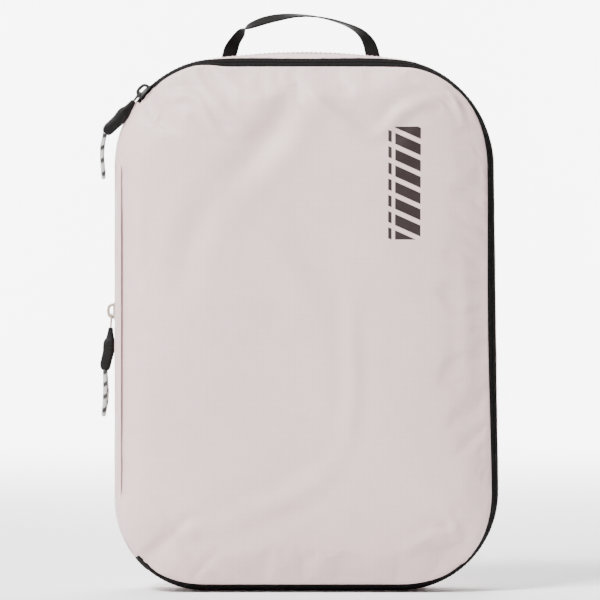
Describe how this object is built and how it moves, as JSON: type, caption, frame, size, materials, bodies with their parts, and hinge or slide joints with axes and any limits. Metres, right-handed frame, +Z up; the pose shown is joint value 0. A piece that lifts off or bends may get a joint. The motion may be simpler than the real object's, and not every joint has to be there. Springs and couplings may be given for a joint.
{
  "type": "packing cube",
  "caption": "Soft upright packing cube with a zip-round lid, a compression zip round its side wall, a webbing loop handle and zip pulls with cord loops.",
  "frame": {"origin": "on the flat bottom of the side wall, under the middle of the body", "axes": "+Z up the tall side, the opening lid faces -Y, the rear shell slides back along +Y"},
  "size_m": [0.2725, 0.0783, 0.398],
  "materials": {
    "light_cloth": "pale satin ripstop",
    "light_tape": "woven zip tape",
    "black_tape": "woven zip tape",
    "webbing": "ribbed webbing",
    "binding": "woven seam binding",
    "label_cloth": "smooth blank label",
    "black_coil": "moulded coil",
    "light_coil": "moulded coil",
    "black_metal": "satin black paint",
    "light_metal": "pale satin paint",
    "black_grip": "soft moulded grip",
    "cord_yarn": "braided cord with dark tracers"
  },
  "bodies": {
    "front_shell": {"front_gusset": "light_cloth", "hinge_gusset": "light_cloth", "hinge_panel": "light_cloth", "main_zip_tape_body": "black_tape", "main_zip_coil_body": "black_coil", "compression_zip_tape_front": "light_tape", "compression_zip_coil_front": "light_coil", "front_seam_binding": "binding", "main_zip_end_tab": "black_tape", "main_zip_top_stop": "black_metal"},
    "rear_shell": {"rear_gusset": "light_cloth", "back_panel": "light_cloth", "expansion_sleeve": "light_cloth", "compression_zip_tape_rear": "light_tape", "compression_zip_coil_rear": "light_coil", "compression_zip_stop": "light_metal", "rear_seam_binding": "binding", "handle_end_left": "webbing", "handle_end_right": "webbing", "care_label": "label_cloth"},
    "lid": {"lid_panel": "light_cloth", "main_zip_tape_lid": "black_tape", "main_zip_coil_lid": "black_coil", "lid_seam_binding": "binding"},
    "handle": {"handle_webbing": "webbing"},
    "main_slider": {"main_slider_body": "black_metal", "main_slider_crown": "black_metal"},
    "main_pull": {"main_pull_link": "black_metal", "main_pull_grip": "black_grip", "main_pull_cord": "cord_yarn"},
    "compression_slider": {"compression_slider_body": "light_metal", "compression_slider_crown": "light_metal"},
    "compression_pull": {"compression_pull_link": "light_metal", "compression_pull_grip": "black_grip", "compression_pull_cord": "cord_yarn"}
  },
  "joints": [
    {"name": "expansion", "type": "slide", "parent": "front_shell", "child": "rear_shell", "axis": [0, 1, 0], "range_m": [0, 0.022]},
    {"name": "lid_hinge", "type": "hinge", "parent": "front_shell", "child": "lid", "pos_m": [-0.1146, -0.0308, 0.178], "axis": [0, 0, -1], "range_deg": [0, 150]},
    {"name": "handle_fold", "type": "hinge", "parent": "rear_shell", "child": "handle", "pos_m": [-0.004, 0.0272, 0.3645], "axis": [1, 0, 0], "range_deg": [-100, 55]},
    {"name": "main_slider_travel", "type": "hinge", "parent": "front_shell", "child": "main_slider", "pos_m": [-0.057, -0.02, 0.29], "axis": [0, 1, 0], "range_deg": [0, 32]},
    {"name": "main_pull_swing", "type": "hinge", "parent": "main_slider", "child": "main_pull", "pos_m": [-0.11328, -0.0208, 0.33983], "axis": [-0.1987, 0.9621, 0.1866], "range_deg": [0, 110]},
    {"name": "compression_slider_travel", "type": "slide", "parent": "front_shell", "child": "compression_slider", "axis": [0, 0, 1], "range_m": [0, 0.08]},
    {"name": "compression_pull_swing", "type": "hinge", "parent": "compression_slider", "child": "compression_pull", "pos_m": [-0.13395, 0.003, 0.1888], "axis": [0, 1, 0], "range_deg": [0, 110]}
  ]
}
